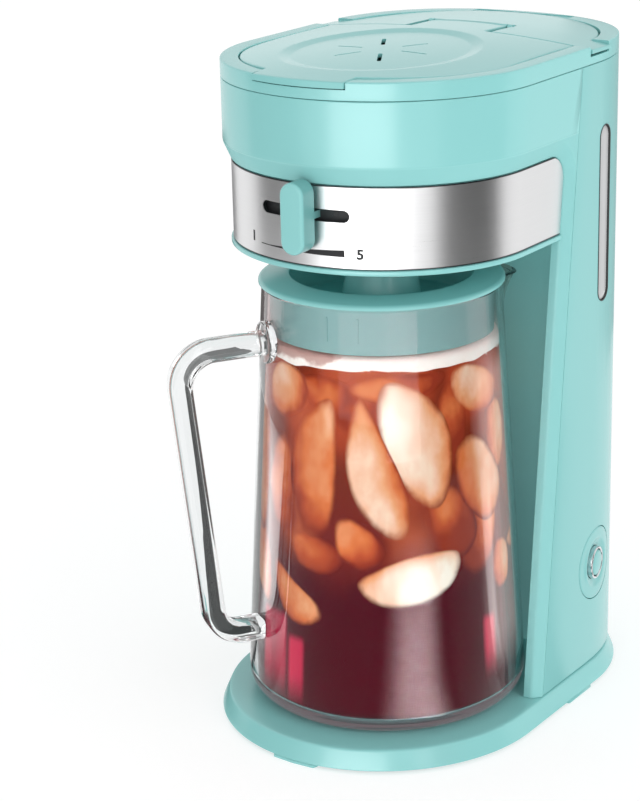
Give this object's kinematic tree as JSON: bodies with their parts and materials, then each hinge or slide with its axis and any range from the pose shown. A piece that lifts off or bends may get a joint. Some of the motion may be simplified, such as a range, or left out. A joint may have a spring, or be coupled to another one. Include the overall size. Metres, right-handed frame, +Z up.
{
  "type": "iced tea maker",
  "caption": "Countertop iced tea brewer with a clear handled jug under its head, hinged top lids, a strength lever, a level window and a push button.",
  "frame": {"origin": "on the floor under the middle of the whole, feet and jug handle counted", "axes": "+Z up, the front with the strength lever faces -Y, +X is the side with the power button"},
  "size_m": [0.1704, 0.2498, 0.3419],
  "materials": {
    "mint_plastic": "satin",
    "brushed_steel": "brushed",
    "chrome": "polished",
    "clear_plastic": "clear",
    "dark_plastic": "matte",
    "grey_rubber": "matte",
    "frosted_plastic": "frosted",
    "cast_aluminium": "as cast",
    "silicone": "matte",
    "filter_mesh": "woven"
  },
  "bodies": {
    "machine": {"base_cover": "dark_plastic", "base_foot_front": "mint_plastic", "base_foot_left": "mint_plastic", "base_foot_rear": "mint_plastic", "base_foot_right": "mint_plastic", "base_screw_1": "brushed_steel", "base_screw_2": "brushed_steel", "base_screw_3": "brushed_steel", "base_screw_4": "brushed_steel", "base_tray": "mint_plastic", "bay_panel": "mint_plastic", "brew_basket": "dark_plastic", "brew_deck": "mint_plastic", "button_ring": "chrome", "button_surround": "mint_plastic", "cord_bush": "grey_rubber", "front_housing": "mint_plastic", "front_lid_pin": "brushed_steel", "head_floor": "mint_plastic", "head_skirt": "mint_plastic", "heater_tube": "cast_aluminium", "inlet_hose": "silicone", "level_window": "frosted_plastic", "lever_screw": "brushed_steel", "mesh_filter": "filter_mesh", "power_switch": "dark_plastic", "rear_housing": "mint_plastic", "rear_lid_pin": "brushed_steel", "riser_hose": "silicone", "spreader_plate": "dark_plastic", "steel_band": "brushed_steel", "tank_valve": "silicone", "thermal_fuse": "dark_plastic", "thermostat": "cast_aluminium", "top_rim": "mint_plastic", "water_spout": "dark_plastic", "water_tank": "clear_plastic"},
    "front_lid": {"front_lid": "mint_plastic"},
    "rear_lid": {"rear_lid": "mint_plastic"},
    "strength_lever": {"strength_lever": "dark_plastic", "strength_knob": "mint_plastic"},
    "power_button": {"power_button": "mint_plastic"},
    "pitcher": {"pitcher_jug": "clear_plastic", "pitcher_handle": "clear_plastic"},
    "pitcher_lid": {"pitcher_lid": "mint_plastic"}
  },
  "joints": [
    {"name": "front_lid_hinge", "type": "hinge", "parent": "machine", "child": "front_lid", "pos_m": [0, 0.05816, 0.3393], "axis": [-1, 0, 0], "range_deg": [0, 95]},
    {"name": "rear_lid_hinge", "type": "hinge", "parent": "machine", "child": "rear_lid", "pos_m": [0, 0.10986, 0.3346], "axis": [-1, 0, 0], "range_deg": [0, 85]},
    {"name": "strength_lever_turn", "type": "hinge", "parent": "machine", "child": "strength_lever", "pos_m": [0, -0.01681, 0.2527], "axis": [0, 0, 1], "range_deg": [-15.8, 11.2]},
    {"name": "power_button_press", "type": "slide", "parent": "machine", "child": "power_button", "axis": [-0.9888, -0.1495, 0], "range_m": [0, 0.0016], "stiffness_N_per_m": 1200},
    {"name": "pitcher_slide", "type": "slide", "parent": "machine", "child": "pitcher", "axis": [0, -1, 0], "range_m": [0, 0.18]},
    {"name": "pitcher_lid_turn", "type": "hinge", "parent": "pitcher", "child": "pitcher_lid", "pos_m": [0, -0.02874, 0.2276], "axis": [0, 0, 1], "range_deg": [-60, 60]}
  ]
}
